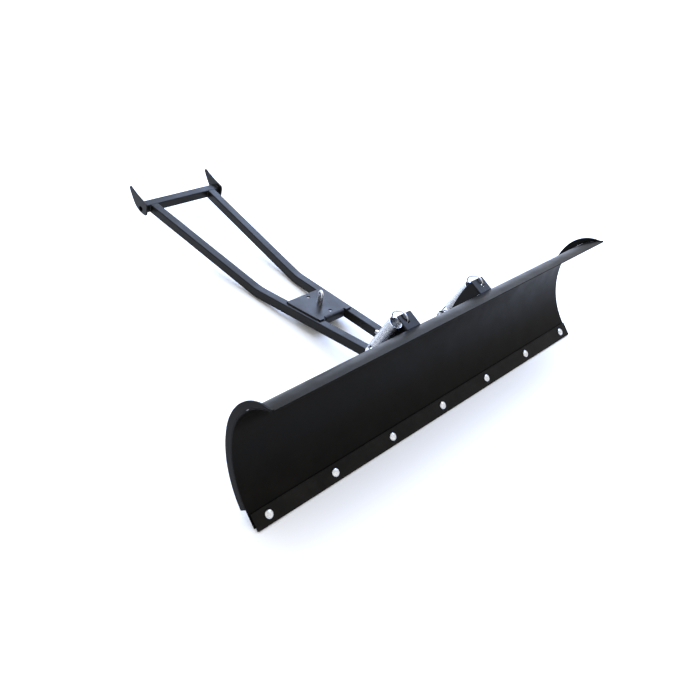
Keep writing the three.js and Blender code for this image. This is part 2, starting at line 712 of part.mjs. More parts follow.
function addKingSleeve() {
  const at = (z) => [0, KING.y, z];
  const sleeve = rod(KING.sleeveRadius, at(KING.sleeveLow), at(KING.sleeveHigh), 40);
  addPiece('king_sleeve', cut(sleeve, kingHole(0, 200)), finishes.blackPaint);
}

// Bridge between the tubes with the bushing that the clamp screws into
function addClampBridge() {
  const y = KING.y + CLAMP.radius;
  const half = FRAME_REAR.inner - FRAME_TAPER * (FRAME_REAR.y - y) - 1.5;
  const bridge = box([-half, y - 13, 55], [half, y + 13, 61]);
  const bushing = rod(12, [0, y, 58], [0, y, KING.sleeveHigh - GAP]);
  const hole = rod(CLAMP.hole, [0, y, 40], [0, y, 120], 20);
  addPiece('clamp_bridge', cut(join(bridge, bushing), hole), finishes.blackPaint);
}

// Clamp screw with a collar on the plate and its top bent over as a handle
function addAngleClamp() {
  const y = KING.y + CLAMP.radius;
  const seat = KING.sleeveHigh + SWIVEL_PLATE + 2 * GAP;
  const screw = wire(CLAMP.screw, [
    [0, y, 60], [0, y, 70], [0, y, 82], [0, y, 95], [0, y, 107], [-2, y + 4, 114], [-8, y + 14, 116],
    [-15, y + 26, 116],
  ], 40, 12);
  const collar = rod(CLAMP.collar, [0, y, seat], [0, y, seat + 5]);
  addPiece('angle_clamp', join(screw, collar), finishes.zinc);
}

addMouldboard();
addWearBar();
addWearBolts();
addEndRibs();
addHingeRibs();
addSpringFlanges();
addSprings();
addSwivelCrossbar();
addUpperPlate();
addLowerPlate();
addSpringArms();
addTripHinges();
addKingBolt();
addPushTubes();
addRearCrossbar();
addHornPlates();
addMidPlate();
addLiftingLoop();
addKingSleeve();
addClampBridge();
addAngleClamp();

plow.position.y = -OVERALL_DEPTH / 2;

export default plow;
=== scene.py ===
"""Looks of the snow plow blade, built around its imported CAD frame.

Metres, in the row frame: X across the blade, Y back to the machine, Z up. Sizes that part.mjs gives
in millimetres from the cutting edge are repeated here as drawn, and at() puts them in the row frame.
"""

import math
from math import cos, pi, radians, sin

import bmesh
import bpy
import numpy as np
from mathutils import Matrix, Vector, noise


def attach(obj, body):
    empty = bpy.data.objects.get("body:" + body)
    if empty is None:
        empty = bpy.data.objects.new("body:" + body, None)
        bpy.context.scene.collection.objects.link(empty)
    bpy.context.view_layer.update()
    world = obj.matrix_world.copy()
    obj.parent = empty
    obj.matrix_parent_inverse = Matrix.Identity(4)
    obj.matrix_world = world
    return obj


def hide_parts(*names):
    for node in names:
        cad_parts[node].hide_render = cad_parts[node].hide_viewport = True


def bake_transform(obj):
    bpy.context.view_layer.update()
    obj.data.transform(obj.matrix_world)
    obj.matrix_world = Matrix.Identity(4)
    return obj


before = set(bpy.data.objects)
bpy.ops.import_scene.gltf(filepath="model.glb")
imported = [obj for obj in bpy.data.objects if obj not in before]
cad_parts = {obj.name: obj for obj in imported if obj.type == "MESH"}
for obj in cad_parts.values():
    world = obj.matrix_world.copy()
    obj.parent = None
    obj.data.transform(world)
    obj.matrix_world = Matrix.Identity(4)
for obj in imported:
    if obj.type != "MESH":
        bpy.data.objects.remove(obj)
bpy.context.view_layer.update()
SCENE = bpy.context.scene

# ------------------------------------------------------------------ driving values

MM = 0.001
HALF_DEPTH = 698  # the row frame's origin lies this far behind the cutting edge, in mm

# Camera: place in mm from the cutting edge's middle, and where it looks, in degrees
CAMERA_PLACE = (-1690.76, -809.04, 1500.58)
CAMERA_TURN = -54.45
CAMERA_TILT = 36.24
CAMERA_ROLL = 13.63
CAMERA_LENS = 40.54
CAMERA_SENSOR = 36

# Floor, in metres: half its width, and how far it lies below z = 0
FLOOR_HALF = 200
FLOOR_DROP = 0.0004
FLOOR_COLOUR = (0.93, 0.93, 0.925)

# Push frame in mm, as in part.mjs. Its rear, bend and front are places (y, z)
TUBE_SIZE = 32
TUBE_WALL = 2.5
TUBE_CORNER = 3.6
TUBE_BEND = 250
FRAME_REAR = (1302.9, 83.0)
FRAME_BEND = (761.0, 22.6)
FRAME_FRONT = (205.0, 73.8)
FRAME_REAR_INNER = 113.4
FRAME_TAPER = 0.0745
CROSSBAR_HALF = 165.7
REAR_SLOPE = math.atan((FRAME_REAR[1] - FRAME_BEND[1]) / (FRAME_REAR[0] - FRAME_BEND[0]))
FRONT_SLOPE = math.atan((FRAME_FRONT[1] - FRAME_BEND[1]) / (FRAME_BEND[0] - FRAME_FRONT[0]))

# Mid plate and lifting loop in mm. The spare holes are offsets from the plate's middle
MID_REAR, MID_FRONT = 636, 488
MID_REAR_HALF, MID_FRONT_HALF = 80, 72
MID_THICK = 5
LIP_HALF, LIP_DROP, LIP_BEND = 43, 22, 4.5
RELIEF_WIDTH, RELIEF_DEPTH = 6, 9
SPARE_HOLES = (54, -49)
SPARE_RADIUS = 6.5
LOOP_BORE = 4.9
GAP = 0.3  # clearance between parts that lie against each other
LOOP_PITCH = 19
LOOP_HEIGHT = 51
LOOP_TURN = radians(-112)
LOOP_WIRE = 4.4

# Swivel and clamp, in mm. Bores, bushing and collar are radii
KING_Y = 215
KING_BORE = 10.3
CLAMP_Y = 285
SLEEVE_LOW, SLEEVE_HIGH = 46.3, 91.7
SLEEVE_RADIUS = 35
SWIVEL_FRONT, SWIVEL_BACK = 125, 160
CLAMP_SCREW = 5.8
CLAMP_BORE = 6.3
CLAMP_BUSHING = 12
CLAMP_COLLAR, CLAMP_COLLAR_HEIGHT = 13, 5
BRIDGE_LOW, BRIDGE_HIGH, BRIDGE_HALF = 55, 61, 13
SWIVEL_PLATE = 8
ARM_INNER = 158
ARM_WELD_LOW, ARM_WELD_HIGH = 74, 98

# Clamp handle's centre line, as (x, y, z) in mm from the screw's axis
HANDLE_PATH = (
    (0, 0, 72), (0, 0, 82), (0, 0, 95), (0, 0, 107), (-2, 4, 114), (-8, 14, 116), (-15, 26, 116),
)

# Trip springs in mm: radii of the coil and the wire, and places (y, z)
SPRING_X = 176
SPRING_RING = 19.5
SPRING_WIRE = 2.5
SPRING_TURNS = 22
SPRING_LENGTH = 118
SPRING_TOP = (145.3, 318.9)
SPRING_LEAN = radians(20.3)
ANCHOR = (203.5, 182.5)
ANCHOR_EYE = 9.6
HOOK_PATH = (
    (165, 334), (160.5, 344), (151, 351.5), (136, 358.5),
    (121, 356), (112, 346.5), (110, 338.5), (113, 332.5),
)

# Blade: its foot, and the spring flanges' tilt
FOOT_ANGLE = radians(41)
FLANGE_TILT = radians(23)

# Fasteners in mm: width across flats, shank radius, thread pitch and radius of the nut's hole
M8_ACROSS, M8_PITCH = 14, 1.25
M10_ACROSS, M10_SHANK, M10_PITCH, M10_BORE = 17, 4.9, 1.5, 5.0
M12_ACROSS, M12_SHANK, M12_PITCH, M12_BORE = 19, 5.9, 1.75, 6.0
M20_ACROSS, M20_SHANK, M20_PITCH, M20_BORE = 30, 9.9, 2.5, 10.1
M12_BOLT = (M12_ACROSS, M12_SHANK, M12_PITCH)
M20_BOLT = (M20_ACROSS, M20_SHANK, M20_PITCH)
CARRIAGE_RADIUS, CARRIAGE_HEIGHT = 12.2, 5.2
CARRIAGE_SHANK, CARRIAGE_THREAD = 14, 13
SPRING_HEAD, HINGE_HEAD, KING_HEAD = 7, 7.2, 13
HEX_FACE = 0.97  # share of the width across flats that a hexagon's chamfer leaves flat

# Radii of the weld beads, in mm
SWIVEL_WELD = 2.6
MID_WELD = 3.0
KING_WELD = 2.4
TUBE_WELD = 2.3
HORN_WELD = 2.2

# Radii of the plates' rounded edges, in metres
FINE_EDGE, MIDDLE_EDGE, BROAD_EDGE = 0.0007, 0.0008, 0.0009

SIDES = (("left", -1), ("right", 1))
SHARP = radians(32)


def at(x, y, z):
    """A drawn place in mm, in the row frame."""
    return Vector((x * MM, (y - HALF_DEPTH) * MM, z * MM))


# ------------------------------------------------------------------ camera, floor and light


def add_camera():
    turn, tilt, roll = (radians(a) for a in (CAMERA_TURN, CAMERA_TILT, CAMERA_ROLL))
    back = Vector((sin(turn) * cos(tilt), -cos(turn) * cos(tilt), sin(tilt)))
    right = Vector((0, 0, 1)).cross(back).normalized()
    up = back.cross(right)
    tilted_right = right * cos(roll) + up * sin(roll)
    tilted_up = up * cos(roll) - right * sin(roll)
    data = bpy.data.cameras.new("camera")
    data.lens = CAMERA_LENS
    data.sensor_width = CAMERA_SENSOR
    data.clip_end = 100
    camera = bpy.data.objects.new("camera", data)
    axes = Matrix((tilted_right, tilted_up, back)).transposed()
    camera.matrix_world = Matrix.Translation(at(*CAMERA_PLACE)) @ axes.to_4x4()
    SCENE.collection.objects.link(camera)
    SCENE.camera = camera


def add_floor():
    mesh = bpy.data.meshes.new("floor")
    signs = ((-1, -1), (1, -1), (1, 1), (-1, 1))
    corners = [(x * FLOOR_HALF, y * FLOOR_HALF, -FLOOR_DROP) for x, y in signs]
    mesh.from_pydata(corners, [], [(0, 1, 2, 3)])
    floor = bpy.data.objects.new("floor", mesh)
    SCENE.collection.objects.link(floor)
    material, shader = new_material("floor_matt", roughness=0.9, specular=0.15)
    shader.inputs["Base Color"].default_value = (*FLOOR_COLOUR, 1)
    mesh.materials.append(material)


def add_lamp(name, place, target, size, power, colour):
    data = bpy.data.lights.new(name, "AREA")
    data.shape = "RECTANGLE"
    data.size, data.size_y = size
    data.energy = power
    data.color = colour
    lamp = bpy.data.objects.new(name, data)
    lamp.location = place
    aim = Vector(target) - Vector(place)
    lamp.rotation_euler = aim.to_track_quat("-Z", "Y").to_euler()
    SCENE.collection.objects.link(lamp)


def add_light():
    world = bpy.data.worlds.new("studio")
    world.use_nodes = True
    background = world.node_tree.nodes["Background"]
    background.inputs["Color"].default_value = (1.0, 0.99, 0.97, 1)
    background.inputs["Strength"].default_value = 1.12
    SCENE.world = world
    add_lamp("top_softbox", (0.2, 1.2, 3.2), (0, -0.1, 0), (3.0, 2.4), 95, (0.62, 0.75, 1.0))
    add_lamp("rear_softbox", (2.6, 2.2, 2.2), (0, 0.1, 0.1), (2.0, 1.6), 110, (0.50, 0.65, 1.0))
    add_lamp("right_softbox", (2.4, -0.3, 2.8), (0, 0, 0.3), (2.2, 1.6), 110, (0.48, 0.62, 1.0))
    SCENE.view_settings.view_transform = "Standard"
    SCENE.view_settings.look = "None"


# ------------------------------------------------------------------ materials


def new_material(name, roughness=0.5, specular=0.5, metallic=0.0):
    material = bpy.data.materials.new(name)
    material.use_nodes = True
    shader = material.node_tree.nodes["Principled BSDF"]
    shader.inputs["Roughness"].default_value = roughness
    shader.inputs["Specular IOR Level"].default_value = specular
    shader.inputs["Metallic"].default_value = metallic
    return material, shader


class Nodes:
    """Short names for adding and joining a material's nodes."""

    def __init__(self, material):
        self.tree = material.node_tree
        self.place = self.tree.nodes.new("ShaderNodeTexCoord").outputs["Object"]

    def link(self, source, socket):
        if isinstance(source, (int, float)):
            socket.default_value = source
        elif isinstance(source, tuple):
            socket.default_value = (*source, 1)
        else:
            self.tree.links.new(source, socket)

    def stretch(self, scale):
        node = self.tree.nodes.new("ShaderNodeMapping")
        node.inputs["Scale"].default_value = scale
        self.link(self.place, node.inputs["Vector"])
        return node.outputs["Vector"]

    def noise(self, scale, detail=3.0, rough=0.5, vector=None, distortion=0.0):
        node = self.tree.nodes.new("ShaderNodeTexNoise")
        node.inputs["Scale"].default_value = scale
        node.inputs["Detail"].default_value = detail
        node.inputs["Roughness"].default_value = rough
        node.inputs["Distortion"].default_value = distortion
        self.link(vector or self.place, node.inputs["Vector"])
        return node.outputs["Fac"]

    def cells(self, scale):
        node = self.tree.nodes.new("ShaderNodeTexVoronoi")
        node.inputs["Scale"].default_value = scale
        self.link(self.place, node.inputs["Vector"])
        return node.outputs["Color"]

    def ramp(self, value, low, high, out_low=0.0, out_high=1.0):
        node = self.tree.nodes.new("ShaderNodeMapRange")
        node.interpolation_type = "SMOOTHSTEP"
        limits = {"From Min": low, "From Max": high, "To Min": out_low, "To Max": out_high}
        for key, number in limits.items():
            node.inputs[key].default_value = number
        self.link(value, node.inputs["Value"])
        return node.outputs["Result"]

    def maths(self, operation, a, b):
        node = self.tree.nodes.new("ShaderNodeMath")
        node.operation = operation
        self.link(a, node.inputs[0])
        self.link(b, node.inputs[1])
        return node.outputs[0]

    def mix(self, factor, a, b):
        node = self.tree.nodes.new("ShaderNodeMix")
        node.data_type = "RGBA"
        self.link(factor, node.inputs[0])
        self.link(a, node.inputs[6])
        self.link(b, node.inputs[7])
        return node.outputs[2]

    def facing_up(self):
        geometry = self.tree.nodes.new("ShaderNodeNewGeometry")
        split = self.tree.nodes.new("ShaderNodeSeparateXYZ")
        self.link(geometry.outputs["Normal"], split.inputs[0])
        return split.outputs["Z"]

    def edge(self, radius):
        """Near 1 along an outer edge and 0 on a flat."""
        bevel = self.tree.nodes.new("ShaderNodeBevel")
        bevel.samples = 4
        bevel.inputs["Radius"].default_value = radius
        geometry = self.tree.nodes.new("ShaderNodeNewGeometry")
        dot = self.tree.nodes.new("ShaderNodeVectorMath")
        dot.operation = "DOT_PRODUCT"
        self.link(bevel.outputs["Normal"], dot.inputs[0])
        self.link(geometry.outputs["Normal"], dot.inputs[1])
        return self.ramp(dot.outputs["Value"], 0.97, 0.80)

    def bump(self, height, distance, strength=1.0, under=None):
        node = self.tree.nodes.new("ShaderNodeBump")
        node.inputs["Distance"].default_value = distance
        node.inputs["Strength"].default_value = strength
        self.link(height, node.inputs["Height"])
        if under is not None:
            self.link(under, node.inputs["Normal"])
        return node.outputs["Normal"]


def powder_coat(name, colour, sheen, dust, scuffs, specular):
    """Black powder coat: orange peel, uneven gloss, dust on upward faces, edges lightened in colour (partly
    thinned coat, partly a painted highlight) and scuffs.
    """
    material, shader = new_material(name, specular=specular)
    n = Nodes(material)
    peel = n.noise(850, 2.0, 0.45)
    grain = n.noise(5200, 1.0)
    waves = n.noise(9, 1.5)
    patches = n.noise(16, 5.0, 0.6)
    dusty = n.noise(42, 7.0, 0.72)
    up = n.ramp(n.facing_up(), 0.25, 0.95)
    settled = n.maths("MULTIPLY", n.maths("MULTIPLY", up, n.ramp(dusty, 0.42, 0.72)), dust)
    streaks = n.noise(60, 4.0, 0.65, n.stretch((0.35, 7.0, 7.0)), 1.2)
    rubbed = n.maths("MULTIPLY", n.ramp(streaks, 0.60, 0.74), n.ramp(patches, 0.50, 0.66))
    rubbed = n.maths("MULTIPLY", rubbed, scuffs)
    # Edge mask: lightens the colour along outer edges, partly the coat worn thin and partly a painted
    # highlight along the edges
    edge = n.maths("MULTIPLY", n.edge(0.0011), n.ramp(patches, 0.38, 0.62, 0.25, 0.85))
    dark = tuple(c * 0.72 for c in colour)
    light = tuple(c * 1.35 for c in colour)
    base = n.mix(n.ramp(patches, 0.35, 0.68), dark, light)
    base = n.mix(n.maths("MULTIPLY", edge, 0.35), base, (0.085, 0.085, 0.088))
    base = n.mix(rubbed, base, (0.13, 0.13, 0.135))
    base = n.mix(settled, base, (0.20, 0.195, 0.18))
    n.link(base, shader.inputs["Base Color"])
    broad = n.ramp(patches, 0.3, 0.7, sheen - 0.05, sheen + 0.06)
    gloss = n.maths("ADD", broad, n.ramp(grain, 0.3, 0.7, -0.02, 0.03))
    gloss = n.maths("ADD", gloss, n.maths("MULTIPLY", settled, 0.9))
    gloss = n.maths("ADD", gloss, n.maths("MULTIPLY", rubbed, 0.35))
    n.link(gloss, shader.inputs["Roughness"])
    normal = n.bump(waves, 0.0016)
    normal = n.bump(peel, 0.00006, 0.8, normal)
    normal = n.bump(grain, 0.00001, 0.6, normal)
    n.link(normal, shader.inputs["Normal"])
    return material


def zinc_plate(name, sheen, grain, dark, light):
    """Bright zinc plate: mottled grey, faint blue and straw tints, fine scratches."""
    material, shader = new_material(name, metallic=1.0)
    n = Nodes(material)
    mottle = n.noise(210, 4.0, 0.6)
    spangle = n.cells(420)
    tint = n.noise(38, 3.0)
    fine = n.noise(2600, 2.0, 0.5, n.stretch(grain))
    grey = n.mix(n.ramp(mottle, 0.35, 0.65), dark, light)
    straw = (light[0] * 0.95, light[1] * 0.90, light[2] * 0.76)
    blue = (light[0] * 0.65, light[1] * 0.71, light[2] * 0.82)
    grey = n.mix(n.ramp(tint, 0.5, 0.72, 0.0, 0.35), grey, straw)
    grey = n.mix(n.maths("MULTIPLY", spangle, 0.10), grey, blue)
    n.link(grey, shader.inputs["Base Color"])
    broad = n.ramp(mottle, 0.3, 0.7, sheen - 0.06, sheen + 0.09)
    rough = n.maths("ADD", broad, n.ramp(fine, 0.3, 0.7, -0.04, 0.05))
    n.link(rough, shader.inputs["Roughness"])
    normal = n.bump(fine, 0.00002, 0.5)
    normal = n.bump(mottle, 0.00004, 0.5, normal)
    n.link(normal, shader.inputs["Normal"])
    return material


def make_materials():
    """Powder coats take colour, sheen, dust, scuffs and specular. Zinc takes sheen, grain and two greys."""
    return {
        "frame": powder_coat("frame_powder_coat", (0.0048, 0.0046, 0.0036), 0.32, 0.015, 0.06, 0.11),
        "sheet": powder_coat("sheet_powder_coat", (0.0024, 0.0021, 0.0017), 0.36, 0.004, 0.012, 0.05),
        "plate": powder_coat("plate_powder_coat", (0.0065, 0.0065, 0.0070), 0.34, 0.10, 0.50, 0.15),
        "weld": powder_coat("weld_powder_coat", (0.0075, 0.0075, 0.0075), 0.33, 0.02, 0.0, 0.20),
        "bar": powder_coat("bar_powder_coat", (0.0055, 0.005, 0.0042), 0.42, 0.015, 0.12, 0.065),
        "zinc": zinc_plate("zinc_fastener", 0.27, (1, 1, 1), (0.52, 0.54, 0.57), (0.74, 0.75, 0.78)),
        "spring": zinc_plate("zinc_spring", 0.24, (0.1, 1, 1), (0.36, 0.38, 0.41), (0.54, 0.56, 0.60)),
    }


# ------------------------------------------------------------------ meshes


def skin(rings, closed=False, caps=True):
    """Quads between rings of points, as vertices and faces. Closed joins the last ring to the first."""
    size = len(rings[0])
    count = len(rings)
    verts = [tuple(p) for ring in rings for p in ring]
    faces = []
    for i in range(count if closed else count - 1):
        a, b = i * size, ((i + 1) % count) * size
        for j in range(size):
            k = (j + 1) % size
            faces.append((a + j, a + k, b + k, b + j))
    if caps and not closed:
        faces.append(tuple(reversed(range(size))))
        faces.append(tuple(range((count - 1) * size, count * size)))
    return verts, faces


def mark_sharp(bm):
    for face in bm.faces:
        face.smooth = True
    for edge in bm.edges:
        edge.smooth = len(edge.link_faces) == 2 and edge.calc_face_angle(0) < SHARP


def finish_mesh(name, shells, weld_tolerance=2e-6):
    """One mesh from closed shells of vertices and faces, with its normals outwards."""
    bm = bmesh.new()
    for verts, faces in shells:
        added = [bm.verts.new(p) for p in verts]
        for face in faces:
            corners = [added[i] for i in face]
            if len(set(corners)) > 2:
                bm.faces.new(corners)
    bmesh.ops.remove_doubles(bm, verts=bm.verts, dist=weld_tolerance)
    bmesh.ops.dissolve_degenerate(bm, edges=bm.edges, dist=weld_tolerance)
    bmesh.ops.recalc_face_normals(bm, faces=bm.faces)
    mark_sharp(bm)
    mesh = bpy.data.meshes.new(name)
    bm.to_mesh(mesh)
    bm.free()
    return mesh


def add_piece(name, mesh, finish, body, *nodes, even=True):
    piece = bpy.data.objects.new(name, mesh)
    SCENE.collection.objects.link(piece)
    mesh.materials.clear()
    mesh.materials.append(FINISHES[finish])
    if even:
        modifier = piece.modifiers.new("even_shading", "WEIGHTED_NORMAL")
        modifier.keep_sharp = True
    if nodes:
        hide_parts(*nodes)
    if body:
        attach(piece, body)
    return piece


def add_solid(node, shells, finish, body):
    """Stands for a CAD node with closed shells of its own."""
    return add_piece(f"{node}_look", finish_mesh(node, shells), finish, body, node)


def node_points(node):
    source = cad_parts[node]
    return [source.matrix_world @ v.co for v in source.data.vertices]


def plane_of(axis):
    """Two directions square to an axis and to each other."""
    axis = Vector(axis).normalized()
    hint = Vector((0, 0, 1)) if abs(axis.z) < 0.9 else Vector((0, 1, 0))
    u = hint.cross(axis).normalized()
    return u, axis.cross(u), axis


def face_loops(node, axis):
    """Outlines of a node's flat end that looks along an axis, in that end's own plane, and its height."""
    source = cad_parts[node]
    u, v, n = plane_of(axis)
    points = {}
    used = {}
    height = max(p.dot(n) for p in node_points(node))
    key = lambda p: tuple(round(c * 2e5) for c in p)
    for face in source.data.polygons:
        corners = [source.matrix_world @ source.data.vertices[i].co for i in face.vertices]
        if min(p.dot(n) for p in corners) < height - 2e-5:
            continue
        keys = [key(p) for p in corners]
        points.update(zip(keys, corners))
        for a, b in zip(keys, keys[1:] + keys[:1]):
            if a != b:
                used[(a, b)] = True
    onward = {a: b for a, b in used if (b, a) not in used}
    loops = []
    while onward:
        start = next(iter(onward))
        loop = [start]
        step = onward.pop(start)
        while step != start and step in onward:
            loop.append(step)
            step = onward.pop(step)
        if len(loop) > 2:
            loops.append([(points[k].dot(u), points[k].dot(v)) for k in loop])
    return loops, height


def tidy_loop(loop):
    """Drops points that stand on a straight line between their neighbours."""
    kept = []
    for i, p in enumerate(loop):
        a, b = Vector(loop[i - 1]), Vector(loop[(i + 1) % len(loop)])
        p = Vector(p)
        if (p - a).angle(b - p, 0) > 0.004:
            kept.append(p)
    return kept


def rounded_loop(loop, parts=4, corner=radians(24)):
    """Turns the short chords of an outline's arcs into smooth curves and leaves its straight runs."""
    loop = tidy_loop(loop)
    size = len(loop)
    result = []
    for i in range(size):
        a, b, c, d = (loop[(i + k) % size] for k in (-1, 0, 1, 2))
        result.append(b)
        chord = (c - b).length
        bend_b, bend_c = (b - a).angle(c - b, 0), (c - b).angle(d - c, 0)
        before, after = (b - a).length, (d - c).length
        curved_b = bend_b < corner and before < 3 * chord
        curved_c = bend_c < corner and after < 3 * chord
        if not (curved_b or curved_c) or chord > 0.03:
            continue
        tangent_b = (b - a).normalized() + (c - b).normalized() if bend_b < corner else c - b
        tangent_c = (c - b).normalized() + (d - c).normalized() if bend_c < corner else c - b
        if bend_b < corner and not curved_b:
            tangent_b = b - a
        if bend_c < corner and not curved_c:
            tangent_c = d - c
        tangent_b = tangent_b.normalized() * chord
        tangent_c = tangent_c.normalized() * chord
        for k in range(1, parts):
            t = k / parts
            h00, h10 = 2 * t**3 - 3 * t**2 + 1, t**3 - 2 * t**2 + t
            h01, h11 = -2 * t**3 + 3 * t**2, t**3 - t**2
            result.append(b * h00 + tangent_b * h10 + c * h01 + tangent_c * h11)
    return result


def plate_mesh(name, loops, low, high, axis, edge):
    """A plate between two heights along an axis, with rounded edges all round its outlines."""
    curve = bpy.data.curves.new(name, "CURVE")
    curve.dimensions = "2D"
    curve.fill_mode = "BOTH"
    curve.extrude = (high - low) / 2 - edge
    curve.bevel_depth = edge
    curve.bevel_resolution = 2
    curve.offset = -edge
    for loop in loops:
        spline = curve.splines.new("POLY")
        spline.points.add(len(loop) - 1)
        for point, (a, b) in zip(spline.points, loop):
            point.co = (a, b, 0, 1)
        spline.use_cyclic_u = True
    flat = bpy.data.objects.new(name, curve)
    SCENE.collection.objects.link(flat)
    bpy.context.view_layer.update()
    mesh = bpy.data.meshes.new_from_object(flat.evaluated_get(bpy.context.evaluated_depsgraph_get()))
    bpy.data.objects.remove(flat)
    u, v, n = plane_of(axis)
    turn = Matrix((u, v, n)).transposed().to_4x4()
    mesh.transform(Matrix.Translation(n * (low + high) / 2) @ turn)
    bm = bmesh.new()
    bm.from_mesh(mesh)
    bmesh.ops.remove_doubles(bm, verts=bm.verts, dist=1e-6)
    bmesh.ops.dissolve_degenerate(bm, edges=bm.edges, dist=1e-6)
    bmesh.ops.recalc_face_normals(bm, faces=bm.faces)
    mark_sharp(bm)
    bm.to_mesh(mesh)
    bm.free()
    mesh.name = name
    return mesh


def add_plate(node, axis, finish, body, edge=FINE_EDGE):
    """Stands for a CAD plate: its own outline, with smooth arcs and rounded edges."""
    loops, high = face_loops(node, axis)
    low = min(p.dot(plane_of(axis)[2]) for p in node_points(node))
    mesh = plate_mesh(node, [rounded_loop(loop) for loop in loops], low, high, axis, edge)
    return add_piece(f"{node}_look", mesh, finish, body, node)


def turned(profile, place, axis, columns=40, profile_at=None):
    """A shape turned about an axis from a closed profile of (radius, height), or one for each angle."""
    u, v, n = plane_of(axis)
    rings = []
    for i in range(columns):
        angle = 2 * pi * i / columns
        out = u * cos(angle) + v * sin(angle)
        points = profile_at(angle) if profile_at else profile
        rings.append([place + out * r + n * h for r, h in points])
    return skin(rings, closed=True)


def hex_radius(across, angle):
    """Distance from a hexagon's middle to its side in a direction."""
    return across / 2 / cos((angle + pi / 6) % (pi / 3) - pi / 6)


def hex_shell(across, low, high, bore, place, axis, top_only=False):
    """A hexagon with chamfered corners: a nut where it has a bore, or a bolt's head where that is 0."""
    face = across / 2 * HEX_FACE
    slope = math.tan(radians(30))
    lead = 0.0006

    def column(angle):
        out = hex_radius(across, angle)
        drop = (out - face) * slope
        foot = low if top_only else low + drop
        if bore:
            hole = [(bore, high - lead), (bore, low + lead), (bore + lead, low)]
            top = [(bore + lead, high)]
        else:
            hole = [(0, low)]
            top = [(0, high)]
        start = [] if top_only else [(face, low)]
        return [*start, (out, foot), (out, high - drop), (face, high), *top, *hole]

    return turned(None, place, axis, 48, column)


def threaded(radius, pitch, low, high, place, axis, columns=24):
    """A screw thread between two heights, chamfered at its upper end."""
    u, v, n = plane_of(axis)
    depth = pitch * 0.42
    rows = max(4, round((high - low) / pitch * 6))
    rings = []
    for i in range(rows + 1):
        height = low + (high - low) * i / rows
        ring = []
        for j in range(columns):
            angle = 2 * pi * j / columns
            phase = (height / pitch - j / columns) % 1
            out = radius - depth * abs(2 * phase - 1)
            out = min(out, radius - depth + (high - height))
            ring.append(place + (u * cos(angle) + v * sin(angle)) * out + n * height)
        rings.append(ring)
    return skin(rings)


def rod_shell(radius, low, high, place, axis, chamfer=0.0006, columns=32):
    profile = [
        (0, low), (radius - chamfer, low), (radius, low + chamfer),
        (radius, high - chamfer), (radius - chamfer, high), (0, high),
    ]
    return turned(profile, place, axis, columns)


def ring_shell(outer, bore, low, high, place, axis, chamfer=0.0008, columns=48):
    profile = [
        (bore, low + chamfer), (bore + chamfer, low), (outer - chamfer, low), (outer, low + chamfer),
        (outer, high - chamfer), (outer - chamfer, high), (bore + chamfer, high), (bore, high - chamfer),
    ]
    return turned(profile, place, axis, columns)


def measure(node, axis):
    """A turned node's centre line and the heights of its two ends along an axis."""
    u, v, n = plane_of(axis)
    points = node_points(node)
    spans = [(min(p.dot(d) for p in points), max(p.dot(d) for p in points)) for d in (u, v, n)]
    place = u * sum(spans[0]) / 2 + v * sum(spans[1]) / 2
    return place, spans[2][0], spans[2][1]


def smooth_path(points, step):
    """Even points along a smooth curve through the given ones."""
    points = [Vector(p) for p in points]
    ends = [points[0] * 2 - points[1], *points, points[-1] * 2 - points[-2]]
    fine = []
    for a, b, c, d in zip(ends, ends[1:], ends[2:], ends[3:]):
        parts = max(2, math.ceil((c - b).length / step))
        for k in range(parts):
            t = k / parts
            fine.append(0.5 * (2 * b + (c - a) * t + (2 * a - 5 * b + 4 * c - d) * t * t
                               + (3 * b - a - 3 * c + d) * t**3))
    fine.append(points[-1])
    return fine


def sweep(path, radius, sides):
    """A round wire along a path, with its section carried along without twist and its ends rounded."""
    directions = [
        (path[min(i + 1, len(path) - 1)] - path[max(i - 1, 0)]).normalized() for i in range(len(path))
    ]
    across = Vector((1, 0, 0))
    across = (across - directions[0] * across.dot(directions[0])).normalized()
    rings = []
    for place, along in zip(path, directions):
        across = (across - along * across.dot(along)).normalized()
        up = along.cross(across)
        rings.append([
            place + (across * cos(2 * pi * k / sides) + up * sin(2 * pi * k / sides)) * radius
            for k in range(sides)
        ])
    first = [rings[0][k].lerp(path[0], 0.25) - directions[0] * 0.0006 for k in range(sides)]
    last = [rings[-1][k].lerp(path[-1], 0.25) + directions[-1] * 0.0006 for k in range(sides)]
    return skin([first, *rings, last])


def bead(start, end, size, seed, step=0.0031):
    """A weld bead between two points, made of overlapping ripples of uneven size."""
    start, end = Vector(start), Vector(end)
    along = (end - start).normalized()
    across, up, _ = plane_of(along)
    length = (end - start).length
    count = max(6, round(length / step * 5))
    sides = 10
    rings = []
    for i in range(count + 1):
        run = length * i / count
        wobble = noise.noise(Vector((run * 90, seed * 7.3, 0.0)))
        phase = (run / step + wobble * 0.5) % 1
        size_here = size * (0.86 + 0.20 * sin(pi * phase) ** 0.8 + 0.10 * wobble)
        size_here *= min(1.0, max(0.0, min(run, length - run) / (size * 0.9)) ** 0.5 * 0.8 + 0.2)
        offset = (across * noise.noise(Vector((run * 60, seed, 5.0)))
                  + up * noise.noise(Vector((run * 60, seed, 9.0)))) * size * 0.10
        centre = start + along * run + offset
        rings.append([
            centre + (across * cos(2 * pi * k / sides) + up * sin(2 * pi * k / sides)) * size_here
            for k in range(sides)
        ])
    return skin(rings)


def rounded_square(half, corner, steps=5):
    """Outline of a square with rounded corners, as (across, up) pairs."""
    points = []
    for quarter in range(4):
        middle = pi / 2 * quarter + pi / 4
        cx = (half - corner) * math.copysign(1, cos(middle))
        cy = (half - corner) * math.copysign(1, sin(middle))
        for k in range(steps + 1):
            angle = pi / 2 * quarter + pi / 2 * k / steps
            points.append((cx + corner * cos(angle), cy + corner * sin(angle)))
    return points


